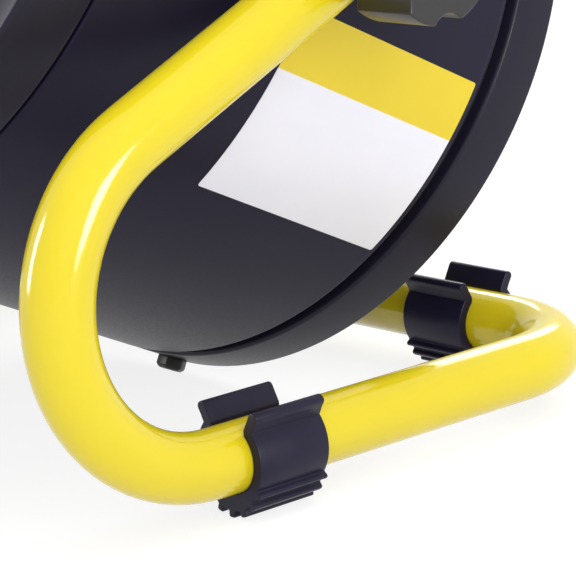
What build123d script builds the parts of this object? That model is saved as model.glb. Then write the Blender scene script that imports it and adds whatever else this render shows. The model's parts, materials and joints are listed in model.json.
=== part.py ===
from build123d import *
import os
from math import cos, radians, sin, sqrt, tan

# A drum fan heater with a ceramic element, hung between the arms of a stand bent from steel tube.
# +Z is up, the floor is z = 0, hot air leaves towards -Y and the arms stand at +X and -X.

os.makedirs("parts", exist_ok=True)

# Stand tube
tube_diameter = 19.0
tube_wall = 1.5
runner_height = 16.3
rear_reach = 91.0
corner_radius = 35.0
front_bend_radius = 47.0
arm_slope = 25.2
arm_past_axis = 59.0
upper_bend_radius = 47.0
upright_lean = 15.0
upright_length = 150.0
handle_corner_radius = 40.0
joiner_length = 60.0
joiner_wall = 1.2
joiner_clearance = 0.1

# Tilt axis of the drum
tilt_axis_y = -2.1
tilt_axis_height = 144.2
drum_tilt = 25.2
side_gap = 1.9

# Handle grip
grip_length = 118.0
grip_diameter = 27.0
grip_groove_count = 5
grip_groove_pitch = 19.0
grip_groove_depth = 1.2

# Foot clips
clip_length = 24.5
clip_wall = 3.1
clip_clearance = 0.1
clip_mouth_angle = 44.0
lip_length = 5.6
lip_root_thickness = 4.0
lip_tip_thickness = 2.8
lip_tip_radius = 0.9
lip_angle = 66.0
foot_drop = 1.0
rib_count = 7
rib_pitch_angle = 18.4
rib_width = 2.9
rib_height = 1.8
rib_tip_radius = 0.5
front_clip_setback = 17.6
rear_clip_setback = 23.0

# Drum
drum_radius = 113.6
rear_face = 91.8
front_face = 87.2
shell_wall = 1.0
shell_curl = 3.0
shell_flange = 4.0
seam_width = 3.4

# Rings at the drum's ends
rear_ring_width = 16.2
front_ring_width = 20.0
ring_wall = 2.0
ring_edge_radius = 1.2
corner_tolerance = 0.1
ring_lip_width = 9.0
spigot_length = 12.0
spigot_clearance = 0.2

# Radial screws that hold the rings
ring_screw_angles = (-90.0, 30.0, 150.0)
ring_screw_offset = 7.6
screw_radius = 2.5
screw_length = 14.0
screw_head_height = 4.1
screw_head_width = 8.0
screw_chamfer = 1.0
screw_clearance = 0.3

# Discs that close the drum's ends
disc_clearance = 0.3
panel_thickness = 2.5
boss_width = 14.0
boss_depth = 11.0
boss_floor = 2.0

# Slots of the rear panel
slot_height = 4.0
slot_pitch = 8.0
slot_gap = 1.0
slot_field_margin = 13.0
slot_end_margin = 12.0
slot_centre_bar = 8.0

# Front grille
grille_thickness = 2.0
grille_bar = 2.4
grille_ring_count = 8
grille_hub_radius = 18.0
grille_spoke_count = 8
grille_rim_width = 5.0

# Controls on the rear panel
control_spacing = 34.0
control_margin = 9.7
control_shaft_radius = 3.0
control_shaft_clearance = 0.06
control_body_width = 34.0
thermostat_depth = 22.0
switch_depth = 27.0
control_neck_radius = 5.0
control_neck_clearance = 0.2
knob_radius = 15.0
knob_height = 15.0
knob_gap = 0.6
knob_bore_depth = 10.0
knob_grip_count = 12
knob_grip_radius = 1.6
pointer_length = 9.0
pointer_height = 0.8
lens_radius = 4.0
lens_margin = 23.0
lens_length = 5.0
gland_radius = 7.0
gland_bore = 3.6
gland_flange = 10.0
gland_reach = 8.0
gland_taper = 8.0
gland_angle = 143.0
gland_margin = 7.0

# Switches and terminals behind the rear panel
terminal_block_width = 36.0
terminal_block_height = 14.0
terminal_block_depth = 12.0
terminal_block_gap = 2.0
terminal_block_ways = 3
terminal_hole_radius = 3.0
tip_switch_gap = 6.0
tip_switch_width = 18.0
tip_switch_height = 22.0
tip_switch_depth = 16.0

# Fan and motor
shaft_radius = 4.0
shaft_clearance = 0.06
bracket_position = -33.5
bracket_thickness = 2.5
bracket_arm_width = 16.0
bracket_foot_length = 12.0
bracket_hub_radius = 36.0
bracket_arm_angles = (90.0, 210.0, 330.0)
motor_radius = 30.0
motor_length = 38.0
motor_nose_radius = 11.0
motor_nose_length = 5.0
motor_edge_radius = 4.0
motor_screw_radius = 1.9
motor_screw_spread = 24.0
motor_screw_head_radius = 3.4
motor_screw_head_height = 2.0
motor_screw_depth = 6.0
fan_hub_radius = 19.0
fan_hub_length = 19.0
fan_hub_gap = 1.5
fan_radius = 88.0
fan_blade_count = 6
blade_root_chord = 26.0
blade_tip_chord = 34.0
blade_root_angle = 44.0
blade_tip_angle = 26.0
blade_thickness = 1.8
blade_station = -17.5
blade_root_sink = 2.0
fan_nut_width = 13.0
fan_nut_height = 6.0
shroud_position = -15.0
shroud_thickness = 1.2
shroud_gap = 3.0
shroud_lip = 14.0

# Ceramic element
baffle_position = 14.0
baffle_thickness = 1.5
element_corner_gap = 5.8
element_frame_wall = 8.0
element_depth = 28.0
ceramic_bar_count = 4
ceramic_bar_height = 8.0
bar_inset = 2.0
fin_pitch = 8.0
fin_gauge = 0.6
element_fit = 0.2
element_screw_radius = 2.0
element_screw_length = 10.0
element_screw_head_radius = 4.0
element_screw_head_height = 2.5
element_screw_inset = 4.0
terminal_width = 6.0
terminal_length = 14.0
terminal_gauge = 0.8
cutout_radius = 8.0
cutout_height = 7.0
liner_gap = 7.0
liner_wall = 0.8
liner_length = 48.0

# Tilt pivots
stud_radius = 3.0
stud_clearance = 0.25
bracket_plate_length = 24.0
bracket_plate_height = 36.0
bracket_plate_thickness = 2.0
weld_nut_width = 10.0
weld_nut_height = 5.0
weld_nut_clearance = 0.05
washer_radius = 12.0
washer_seat = 0.05
washer_play = 0.3
tilt_knob_radius = 19.0
tilt_knob_height = 20.0
tilt_knob_gap = 0.5
tilt_knob_lobes = 6
tilt_knob_lobe_cut = 6.0
tilt_knob_bore_depth = 14.0
stud_reach = 2.0

tube_radius = tube_diameter / 2
shell_inner = drum_radius - shell_wall
frame_half_width = drum_radius + side_gap + tube_radius
rear_y = tilt_axis_y + rear_reach
tilt_centre = Vector(0, tilt_axis_y, tilt_axis_height)

# Directions along the drum, from back to front, and square to it, upwards
front_way = Vector(0, -cos(radians(drum_tilt)), sin(radians(drum_tilt)))
up_way = Vector(0, sin(radians(drum_tilt)), cos(radians(drum_tilt)))
drum_plane = Plane(origin=tilt_centre, x_dir=(1, 0, 0), z_dir=front_way)
profile_plane = Plane(origin=tilt_centre, x_dir=front_way, z_dir=(-1, 0, 0))
drum_axis = Axis(tilt_centre, front_way)


def finish(builder, name):
    """Name a finished piece and write its file."""
    builder.part.label = name
    export_step(builder.part, f"parts/{name}.step")


def across(station):
    """Plane square to the drum's axis, at a distance in front of the tilt axis."""
    return drum_plane.offset(station)


def radial_plane(station, angle, radius):
    """Plane that faces outwards from the drum's axis, at a station, angle and radius."""
    spot = across(station).from_local_coords(
        Vector(radius * cos(radians(angle)), radius * sin(radians(angle)), 0))
    outwards = spot - across(station).origin
    return Plane(origin=spot, x_dir=front_way, z_dir=outwards)


def spoke_place(radius, angle):
    """Place in a sketch at a radius and an angle, turned to face outwards."""
    return Location((radius * cos(radians(angle)), radius * sin(radians(angle))), angle)


# Frame tube: its two halves meet in the middle of the rear cross-piece and of the handle
foot_of_arm = tilt_axis_y - (tilt_axis_height - runner_height) / tan(radians(arm_slope))
arm_top_y = tilt_axis_y + arm_past_axis * cos(radians(arm_slope))
arm_top_z = tilt_axis_height + arm_past_axis * sin(radians(arm_slope))
handle_y = arm_top_y - upright_length * sin(radians(upright_lean))
handle_z = arm_top_z + upright_length * cos(radians(upright_lean))
stud_bore = stud_radius + stud_clearance

with BuildPart() as frame_tube_right:
    with BuildLine() as bend_line:
        FilletPolyline(
            (0, rear_y, runner_height),
            (frame_half_width, rear_y, runner_height),
            (frame_half_width, foot_of_arm, runner_height),
            (frame_half_width, arm_top_y, arm_top_z),
            (frame_half_width, handle_y, handle_z),
            (0, handle_y, handle_z),
            radius=(corner_radius, front_bend_radius, upper_bend_radius, handle_corner_radius))
    with BuildSketch(Plane(origin=(0, rear_y, runner_height), x_dir=(0, 1, 0), z_dir=(1, 0, 0))):
        Circle(tube_radius)
        Circle(tube_radius - tube_wall, mode=Mode.SUBTRACT)
    sweep(path=bend_line.wires()[0])
    with BuildSketch(Plane(origin=(frame_half_width, tilt_axis_y, tilt_axis_height), z_dir=(1, 0, 0))):
        Circle(stud_bore)
    extrude(amount=tube_diameter, both=True, mode=Mode.SUBTRACT)
finish(frame_tube_right, "frame_tube_right")

with BuildPart() as frame_tube_left:
    mirror(frame_tube_right.part, about=Plane.YZ)
finish(frame_tube_left, "frame_tube_left")

# Tube joiners: a short sleeve inside each joint of the two halves
joiner_radius = tube_radius - tube_wall - joiner_clearance
with BuildPart() as tube_joiners:
    for joint_y, joint_z in ((rear_y, runner_height), (handle_y, handle_z)):
        with BuildSketch(Plane(origin=(0, joint_y, joint_z), z_dir=(1, 0, 0))):
            Circle(joiner_radius)
            Circle(joiner_radius - joiner_wall, mode=Mode.SUBTRACT)
        extrude(amount=joiner_length / 2, both=True)
finish(tube_joiners, "tube_joiners")

# Handle grip: rubber sleeve with rounded ends and finger grooves
with BuildPart() as handle_grip:
    with BuildSketch(Plane(origin=(0, handle_y, handle_z), x_dir=(1, 0, 0), z_dir=(0, 1, 0))) as grip_wall:
        grip_thickness = (grip_diameter - tube_diameter) / 2 - joiner_clearance
        with Locations((0, -tube_radius - joiner_clearance - grip_thickness / 2)):
            Rectangle(grip_length, grip_thickness)
        fillet(grip_wall.vertices().group_by(Axis.Z)[0], grip_thickness / 2)
        with Locations(*[((index - (grip_groove_count - 1) / 2) * grip_groove_pitch, -grip_diameter / 2)
                         for index in range(grip_groove_count)]):
            RegularPolygon(grip_groove_depth, 4, rotation=0, mode=Mode.SUBTRACT)
    revolve(axis=Axis((0, handle_y, handle_z), (1, 0, 0)))
finish(handle_grip, "handle_grip")

# Foot clips: one extruded profile, open at the top, with two lips to spread it over the tube and a
# thicker foot with ribs along it to stand on
clip_inner = tube_radius + clip_clearance
clip_outer = clip_inner + clip_wall
clip_middle = (clip_inner + clip_outer) / 2
foot_outer = runner_height - foot_drop
foot_base = foot_outer - rib_height
rib_angles = [-90 + (step - (rib_count - 1) / 2) * rib_pitch_angle for step in range(rib_count)]
bend_end_y = foot_of_arm + front_bend_radius / tan(radians(arm_slope / 2))
front_clip_y = bend_end_y + front_clip_setback
rear_clip_x = frame_half_width - corner_radius - rear_clip_setback


def clip_rib(angle):
    """One rib of the foot, with a rounded tip, square to the foot's round underside."""
    with BuildSketch(mode=Mode.PRIVATE) as rib:
        with Locations((foot_outer - (foot_outer - clip_inner) / 2, 0)):
            Rectangle(foot_outer - clip_inner, rib_width)
        fillet(rib.vertices().group_by(Axis.X)[-1], rib_tip_radius)
    return rib.sketch.moved(Location((0, -foot_drop, 0), (0, 0, angle)))


def clip_lip(side):
    """One lip: it leans outwards from the clip's mouth and thins towards a rounded tip."""
    root_x = clip_middle * cos(radians(clip_mouth_angle))
    root_y = clip_middle * sin(radians(clip_mouth_angle))
    with BuildSketch(mode=Mode.PRIVATE) as lip:
        with BuildLine():
            Polyline((0, -lip_root_thickness / 2), (lip_length, -lip_tip_thickness / 2),
                     (lip_length, lip_tip_thickness / 2), (0, lip_root_thickness / 2), close=True)
        make_face()
        fillet(lip.vertices().group_by(Axis.X)[-1], lip_tip_radius)
    lean = 90 - side * (90 - lip_angle)
    return lip.sketch.moved(Location((side * root_x, root_y, 0), (0, 0, lean)))


def foot_clip(section):
    """A clip cut to length on both sides of its section plane."""
    with BuildPart() as clip:
        with BuildSketch(section):
            with Locations((0, -foot_drop)):
                Circle(foot_base)
            with BuildLine():
                shoulder = 2 * foot_base
                flank_x = shoulder * cos(radians(rib_angles[0]))
                flank_y = shoulder * sin(radians(rib_angles[0]))
                Polyline((0, -foot_drop), (flank_x, flank_y), (-shoulder, 0), (-shoulder, shoulder),
                         (shoulder, shoulder), (shoulder, 0), (-flank_x, flank_y), close=True)
            make_face(mode=Mode.SUBTRACT)
            Circle(clip_outer)
            for angle in rib_angles:
                add(clip_rib(angle))
            with BuildLine():
                mouth_x = 2 * clip_outer * cos(radians(clip_mouth_angle))
                mouth_y = 2 * clip_outer * sin(radians(clip_mouth_angle))
                Polyline((0, 0), (mouth_x, mouth_y), (-mouth_x, mouth_y), close=True)
            make_face(mode=Mode.SUBTRACT)
            add(clip_lip(1))
            add(clip_lip(-1))
            Circle(clip_inner, mode=Mode.SUBTRACT)
        extrude(amount=clip_length / 2, both=True)
    return clip


for side_name, side in (("right", 1), ("left", -1)):
    finish(foot_clip(Plane(origin=(side * frame_half_width, front_clip_y, runner_height),
                           x_dir=(1, 0, 0), z_dir=(0, -1, 0))), f"foot_clip_front_{side_name}")
    finish(foot_clip(Plane(origin=(side * rear_clip_x, rear_y, runner_height),
                           x_dir=(0, 1, 0), z_dir=(1, 0, 0))), f"foot_clip_rear_{side_name}")

# Drum shell: rolled sheet with a turned-in flange at each end
rear_seam = -rear_face + rear_ring_width + seam_width
front_seam = front_face - front_ring_width - seam_width
with BuildPart() as drum_shell:
    with BuildSketch(profile_plane):
        with BuildLine():
            flange_radius = drum_radius - shell_flange
            FilletPolyline((rear_seam, flange_radius), (rear_seam, drum_radius),
                           (front_seam, drum_radius), (front_seam, flange_radius), radius=shell_curl)
            Line((front_seam, flange_radius), (front_seam - shell_wall, flange_radius))
            FilletPolyline((front_seam - shell_wall, flange_radius), (front_seam - shell_wall, shell_inner),
                           (rear_seam + shell_wall, shell_inner), (rear_seam + shell_wall, flange_radius),
                           radius=shell_curl - shell_wall)
            Line((rear_seam + shell_wall, flange_radius), (rear_seam, flange_radius))
        make_face()
    revolve(axis=drum_axis)
    with BuildSketch(Plane(origin=tilt_centre, z_dir=(1, 0, 0))):
        Circle(stud_bore)
    extrude(amount=drum_radius + shell_wall, both=True, mode=Mode.SUBTRACT)
finish(drum_shell, "drum_shell")

# Rings: a rounded band with an inward lip, and a spigot that the shell's flange sits on
spigot_outer = flange_radius - spigot_clearance
spigot_inner = spigot_outer - ring_wall
lip_inner = drum_radius - ring_lip_width


def drum_ring(face, inwards, width):
    """Ring at one end of the drum, from its face inwards (+1 or -1 along the drum)."""
    def at(depth):
        return face + inwards * depth

    with BuildPart() as ring:
        with BuildSketch(profile_plane) as band:
            with BuildLine():
                Polyline((at(0), lip_inner), (at(0), drum_radius), (at(width), drum_radius),
                         (at(width), spigot_outer), (at(width + spigot_length), spigot_outer),
                         (at(width + spigot_length), spigot_inner),
                         (at(width - ring_wall), spigot_inner),
                         (at(width - ring_wall), drum_radius - ring_wall),
                         (at(ring_wall), drum_radius - ring_wall), (at(ring_wall), lip_inner), close=True)
            make_face()
            fillet([corner for corner in band.vertices()
                    if abs(corner.Y - drum_radius) < corner_tolerance], ring_edge_radius)
        revolve(axis=drum_axis)
        for angle in ring_screw_angles:
            with BuildSketch(radial_plane(at(ring_screw_offset), angle, drum_radius)):
                Circle(screw_radius + screw_clearance)
            extrude(amount=-2 * ring_wall, both=True, mode=Mode.SUBTRACT)
    return ring


finish(drum_ring(-rear_face, 1, rear_ring_width), "rear_ring")
finish(drum_ring(front_face, -1, front_ring_width), "front_ring")


# Ring screws: hexagon heads that bear on the band, shanks that end in the bosses of the end discs
def ring_screws(station):
    """The screws of one ring."""
    with BuildPart() as screws:
        for angle in ring_screw_angles:
            seat = radial_plane(station, angle, drum_radius)
            with BuildSketch(seat):
                RegularPolygon(screw_head_width / 2, 6, major_radius=False, rotation=30)
            extrude(amount=screw_head_height - screw_chamfer)
            with BuildSketch(seat.offset(screw_head_height - screw_chamfer)):
                RegularPolygon(screw_head_width / 2, 6, major_radius=False, rotation=30)
            extrude(amount=screw_chamfer, taper=45)
            with BuildSketch(seat):
                Circle(screw_radius)
            extrude(amount=-screw_length)
    return screws


finish(ring_screws(-rear_face + ring_screw_offset), "rear_ring_screws")
finish(ring_screws(front_face - ring_screw_offset), "front_ring_screws")

# Rear panel: moulded disc behind the rear lip, with intake slots, control holes and screw bosses
disc_radius = spigot_inner - disc_clearance
control_reach = disc_radius - control_margin
control_corner = control_spacing + control_body_width / 2
control_height = sqrt(control_reach ** 2 - control_corner ** 2) - control_body_width / 2
terminal_block_position = (control_height - control_body_width / 2 - terminal_block_gap
                           - terminal_block_height / 2)
slot_highest = terminal_block_position - terminal_block_height / 2 - slot_gap - slot_height / 2
lens_height = disc_radius - lens_margin
gland_spread = disc_radius - gland_flange - gland_margin
gland_side = gland_spread * cos(radians(gland_angle))
gland_height = gland_spread * sin(radians(gland_angle))
slot_field_radius = disc_radius - slot_field_margin
slot_rows = int((slot_field_radius - slot_end_margin + slot_highest) / slot_pitch) + 1
panel_back = -rear_face + ring_wall
panel_front = panel_back + panel_thickness
boss_inner = drum_radius - screw_length - boss_floor
control_neck_bore = control_neck_radius + control_neck_clearance
with BuildPart() as rear_panel:
    with BuildSketch(across(panel_back)):
        Circle(disc_radius)
        for row in range(slot_rows):
            slot_y = slot_highest - row * slot_pitch
            half_chord = sqrt(slot_field_radius ** 2 - slot_y ** 2)
            slot_width = half_chord - slot_centre_bar / 2
            with Locations((slot_centre_bar / 2 + slot_width / 2, slot_y),
                           (-slot_centre_bar / 2 - slot_width / 2, slot_y)):
                Rectangle(slot_width, slot_height, mode=Mode.SUBTRACT)
        with Locations((control_spacing, control_height), (-control_spacing, control_height)):
            Circle(control_neck_bore, mode=Mode.SUBTRACT)
        with Locations((0, lens_height)):
            Circle(lens_radius + control_neck_clearance, mode=Mode.SUBTRACT)
        with Locations((gland_side, gland_height)):
            Circle(gland_radius + control_neck_clearance, mode=Mode.SUBTRACT)
    extrude(amount=panel_thickness)
    for angle in ring_screw_angles:
        with BuildSketch(across(panel_front)):
            boss_middle = (disc_radius + boss_inner) / 2
            with Locations(spoke_place(boss_middle, angle)):
                Rectangle(disc_radius - boss_inner, boss_width)
            Circle(disc_radius, mode=Mode.INTERSECT)
        extrude(amount=boss_depth)
    for angle in ring_screw_angles:
        with BuildSketch(radial_plane(-rear_face + ring_screw_offset, angle, disc_radius + ring_wall)):
            Circle(screw_radius + weld_nut_clearance)
        extrude(amount=-screw_length, mode=Mode.SUBTRACT)
finish(rear_panel, "rear_panel")

# Front grille: stamped disc behind the front lip, with rings, spokes and screw bosses
grille_front = front_face - ring_wall
grille_back = grille_front - grille_thickness
grille_ring_pitch = (disc_radius - grille_rim_width - grille_hub_radius) / (grille_ring_count + 1)
with BuildPart() as front_grille:
    with BuildSketch(across(grille_back)):
        Circle(disc_radius)
        Circle(disc_radius - grille_rim_width, mode=Mode.SUBTRACT)
        Circle(grille_hub_radius)
        for index in range(grille_ring_count):
            ring_radius = grille_hub_radius + (index + 1) * grille_ring_pitch
            with BuildSketch(mode=Mode.PRIVATE) as grille_ring:
                Circle(ring_radius + grille_bar / 2)
                Circle(ring_radius - grille_bar / 2, mode=Mode.SUBTRACT)
            add(grille_ring.sketch)
        spoke_length = disc_radius - grille_hub_radius - grille_rim_width / 2
        with PolarLocations(grille_hub_radius + spoke_length / 2 - grille_bar / 2, grille_spoke_count):
            Rectangle(spoke_length, grille_bar)
    extrude(amount=grille_thickness)
    for angle in ring_screw_angles:
        with BuildSketch(across(grille_back)):
            with Locations(spoke_place(boss_middle, angle)):
                Rectangle(disc_radius - boss_inner, boss_width)
            Circle(disc_radius, mode=Mode.INTERSECT)
        extrude(amount=-boss_depth)
    for angle in ring_screw_angles:
        with BuildSketch(radial_plane(front_face - ring_screw_offset, angle, disc_radius + ring_wall)):
            Circle(screw_radius + weld_nut_clearance)
        extrude(amount=-screw_length, mode=Mode.SUBTRACT)
finish(front_grille, "front_grille")


def round_bar(plane, radius, length, bore=0.0):
    """A plain round bar or sleeve that starts on a plane."""
    with BuildPart() as bar:
        with BuildSketch(plane):
            Circle(radius)
            if bore > 0:
                Circle(bore, mode=Mode.SUBTRACT)
        extrude(amount=length)
    return bar


# Controls: a housing with a threaded neck in the panel, a shaft that turns in it and a knob
shaft_end = panel_back - knob_gap - knob_bore_depth


def control_plane(side, station):
    """Plane at a control's shaft, facing forwards into the drum."""
    return across(station).shift_origin(
        across(station).from_local_coords(Vector(side * control_spacing, control_height, 0)))


def control_housing(side, depth):
    """Housing of a thermostat or a switch, with its neck through the panel and a blind shaft bore."""
    with BuildPart() as housing:
        with BuildSketch(control_plane(side, panel_front)) as outline:
            Rectangle(control_body_width, control_body_width)
            fillet(outline.vertices(), control_neck_radius / 2)
        extrude(amount=depth)
        with BuildSketch(control_plane(side, panel_back)):
            Circle(control_neck_radius)
        extrude(amount=panel_thickness)
        with BuildSketch(control_plane(side, panel_back)):
            Circle(control_shaft_radius + control_shaft_clearance)
        extrude(amount=panel_thickness + depth / 2, mode=Mode.SUBTRACT)
    return housing


def control_shaft(side, depth):
    """Shaft from the middle of the housing to the knob."""
    inner_end = panel_front + depth / 2 - knob_gap
    return round_bar(control_plane(side, shaft_end), control_shaft_radius, inner_end - shaft_end)


def control_knob(side):
    """Round knob with finger flutes and a pointer ridge on its face."""
    with BuildPart() as knob:
        with BuildSketch(control_plane(side, panel_back - knob_gap)):
            Circle(knob_radius)
            with PolarLocations(knob_radius + knob_grip_radius / 2, knob_grip_count):
                Circle(knob_grip_radius, mode=Mode.SUBTRACT)
        extrude(amount=-knob_height)
        with BuildSketch(control_plane(side, panel_back - knob_gap - knob_height)):
            with Locations((0, knob_radius / 2)):
                Rectangle(knob_grip_radius, pointer_length)
        extrude(amount=-pointer_height)
        with BuildSketch(control_plane(side, panel_back - knob_gap)):
            Circle(control_shaft_radius + control_shaft_clearance / 2)
        extrude(amount=-knob_bore_depth, mode=Mode.SUBTRACT)
    return knob


for control_name, part_name, side, depth in (("thermostat", "thermostat", -1, thermostat_depth),
                                             ("mode_switch", "mode", 1, switch_depth)):
    finish(control_housing(side, depth), control_name)
    finish(control_shaft(side, depth), f"{part_name}_shaft")
    finish(control_knob(side), f"{part_name}_knob")

# Indicator lens: a clear plug in the panel with a rounded end
with BuildPart() as indicator_lens:
    lens_plane = across(panel_front).shift_origin(
        across(panel_front).from_local_coords(Vector(0, lens_height, 0)))
    with BuildSketch(lens_plane):
        Circle(lens_radius)
    extrude(amount=-lens_length)
    fillet(indicator_lens.edges().sort_by(Axis(tilt_centre, front_way))[0], lens_radius / 2)
    with BuildSketch(lens_plane):
        Circle(lens_radius + ring_wall / 2)
    extrude(amount=ring_wall)
finish(indicator_lens, "indicator_lens")

# Cord gland: flanged bush in the panel, the cord's way in
with BuildPart() as cord_gland:
    gland_plane = across(panel_back).shift_origin(
        across(panel_back).from_local_coords(Vector(gland_side, gland_height, 0)))
    with BuildSketch(gland_plane):
        Circle(gland_radius)
    extrude(amount=panel_thickness + ring_wall)
    with BuildSketch(gland_plane):
        Circle(gland_flange)
    extrude(amount=-ring_wall)
    with BuildSketch(gland_plane):
        Circle(gland_radius)
    extrude(amount=-gland_reach, taper=gland_taper)
    with BuildSketch(gland_plane):
        Circle(gland_bore)
    extrude(amount=gland_reach * 2, both=True, mode=Mode.SUBTRACT)
finish(cord_gland, "cord_gland")

# Terminal block: moulded block on the panel with a wire well for each conductor
with BuildPart() as terminal_block:
    with BuildSketch(across(panel_front)):
        with Locations((0, terminal_block_position)):
            Rectangle(terminal_block_width, terminal_block_height)
    extrude(amount=terminal_block_depth)
    with BuildSketch(across(panel_front + terminal_block_depth)):
        with Locations((0, terminal_block_position)):
            with GridLocations(terminal_block_width / terminal_block_ways, 0, terminal_block_ways, 1):
                Circle(terminal_hole_radius)
    extrude(amount=-terminal_block_depth / 2, mode=Mode.SUBTRACT)
finish(terminal_block, "terminal_block")

# Tip-over switch: closed housing on the panel
tip_switch_side = control_corner + tip_switch_gap + tip_switch_width / 2
tip_switch_corner = tip_switch_side + tip_switch_width / 2
tip_switch_position = sqrt(control_reach ** 2 - tip_switch_corner ** 2) - tip_switch_height / 2
with BuildPart() as tip_over_switch:
    with BuildSketch(across(panel_front)):
        with Locations((tip_switch_side, tip_switch_position)):
            Rectangle(tip_switch_width, tip_switch_height)
    extrude(amount=tip_switch_depth)
finish(tip_over_switch, "tip_over_switch")

# Motor: closed can with a bearing nose, and a bore through it for the shaft
motor_back = bracket_position - motor_length
nose_end = bracket_position + motor_nose_length
with BuildPart() as fan_motor:
    with BuildSketch(across(motor_back)):
        Circle(motor_radius)
    extrude(amount=motor_length)
    fillet(fan_motor.edges(), motor_edge_radius)
    with BuildSketch(across(bracket_position)):
        Circle(motor_nose_radius)
    extrude(amount=motor_nose_length)
    with BuildSketch(across(motor_back)):
        Circle(shaft_radius + shaft_clearance)
    extrude(amount=motor_length + motor_nose_length, mode=Mode.SUBTRACT)
    with BuildSketch(across(bracket_position)):
        with Locations((0, motor_screw_spread), (0, -motor_screw_spread)):
            Circle(motor_screw_radius + weld_nut_clearance)
    extrude(amount=-motor_screw_depth - joiner_clearance, mode=Mode.SUBTRACT)
finish(fan_motor, "fan_motor")

# Motor bracket: three-armed spider with a foot at each arm's end against the shell
wall_fit = shell_inner - spigot_clearance
with BuildPart() as motor_bracket:
    with BuildSketch(across(bracket_position)):
        Circle(bracket_hub_radius)
        for angle in bracket_arm_angles:
            with Locations(spoke_place(wall_fit / 2, angle)):
                Rectangle(wall_fit, bracket_arm_width)
        Circle(wall_fit, mode=Mode.INTERSECT)
        Circle(motor_nose_radius + control_neck_clearance, mode=Mode.SUBTRACT)
        with Locations((0, motor_screw_spread), (0, -motor_screw_spread)):
            Circle(motor_screw_radius + weld_nut_clearance, mode=Mode.SUBTRACT)
    extrude(amount=bracket_thickness)
    bracket_foot = sqrt(wall_fit ** 2 - (bracket_arm_width / 2) ** 2) - bracket_thickness / 2
    with BuildSketch(across(bracket_position)):
        for angle in bracket_arm_angles:
            with Locations(spoke_place(bracket_foot, angle)):
                Rectangle(bracket_thickness, bracket_arm_width)
    extrude(amount=-bracket_foot_length)
finish(motor_bracket, "motor_bracket")

# Motor screws: two round heads on the bracket's front
with BuildPart() as motor_screws:
    with BuildSketch(across(bracket_position + bracket_thickness)):
        with Locations((0, motor_screw_spread), (0, -motor_screw_spread)):
            Circle(motor_screw_head_radius)
    extrude(amount=motor_screw_head_height)
    with BuildSketch(across(bracket_position + bracket_thickness)):
        with Locations((0, motor_screw_spread), (0, -motor_screw_spread)):
            Circle(motor_screw_radius)
    extrude(amount=-bracket_thickness - motor_screw_depth)
finish(motor_screws, "motor_screws")

# Fan: hub with pitched, tapering blades, its shaft and the nut that holds it
hub_start = nose_end + fan_hub_gap
hub_end = hub_start + fan_hub_length
with BuildPart() as fan:
    with BuildSketch(across(hub_start)):
        Circle(fan_hub_radius)
    extrude(amount=fan_hub_length)
    blade_middle = across(blade_station)
    for index in range(fan_blade_count):
        bearing = 360 / fan_blade_count * index
        outwards = blade_middle.x_dir * cos(radians(bearing)) + blade_middle.y_dir * sin(radians(bearing))
        around = blade_middle.y_dir * cos(radians(bearing)) - blade_middle.x_dir * sin(radians(bearing))
        root = Plane(origin=blade_middle.origin + outwards * (fan_hub_radius - blade_root_sink),
                     x_dir=around, z_dir=outwards)
        tip = Plane(origin=blade_middle.origin + outwards * fan_radius, x_dir=around, z_dir=outwards)
        with BuildSketch(root):
            Rectangle(blade_root_chord, blade_thickness, rotation=blade_root_angle)
        with BuildSketch(tip):
            Rectangle(blade_tip_chord, blade_thickness, rotation=blade_tip_angle)
        loft(ruled=True)
    with BuildSketch(across(hub_start)):
        Circle(shaft_radius + weld_nut_clearance)
    extrude(amount=fan_hub_length, mode=Mode.SUBTRACT)
finish(fan, "fan")

finish(round_bar(across(motor_back), shaft_radius, hub_end + fan_nut_height - motor_back), "motor_shaft")

with BuildPart() as fan_nut:
    with BuildSketch(across(hub_end)):
        RegularPolygon(fan_nut_width / 2, 6, major_radius=False)
        Circle(shaft_radius + weld_nut_clearance, mode=Mode.SUBTRACT)
    extrude(amount=fan_nut_height)
finish(fan_nut, "fan_nut")

# Fan shroud: flat ring across the shell with a lip round the blade tips
shroud_inner = fan_radius + shroud_gap
with BuildPart() as fan_shroud:
    with BuildSketch(across(shroud_position)):
        Circle(wall_fit)
        Circle(shroud_inner, mode=Mode.SUBTRACT)
    extrude(amount=shroud_thickness)
    with BuildSketch(across(shroud_position)):
        Circle(shroud_inner + shroud_thickness)
        Circle(shroud_inner, mode=Mode.SUBTRACT)
    extrude(amount=-shroud_lip)
finish(fan_shroud, "fan_shroud")

# Element baffle: plate across the shell with a window for the ceramic element
liner_radius = shell_inner - liner_gap
element_width = sqrt(2) * (liner_radius - liner_wall - element_corner_gap)
element_window = element_width - 2 * element_frame_wall
element_back = baffle_position + baffle_thickness
element_screw_spread = element_width - 2 * element_screw_inset
with BuildPart() as element_baffle:
    with BuildSketch(across(baffle_position)):
        Circle(wall_fit)
        Rectangle(element_window, element_window, mode=Mode.SUBTRACT)
        with GridLocations(element_screw_spread, element_screw_spread, 2, 2):
            Circle(element_screw_radius + weld_nut_clearance, mode=Mode.SUBTRACT)
    extrude(amount=baffle_thickness)
finish(element_baffle, "element_baffle")

with BuildPart() as element_frame:
    with BuildSketch(across(element_back)):
        Rectangle(element_width, element_width)
        Rectangle(element_window, element_window, mode=Mode.SUBTRACT)
    extrude(amount=element_depth)
    with BuildSketch(across(element_back)):
        with GridLocations(element_screw_spread, element_screw_spread, 2, 2):
            Circle(element_screw_radius + weld_nut_clearance)
    extrude(amount=element_screw_length, mode=Mode.SUBTRACT)
finish(element_frame, "element_frame")

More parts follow.
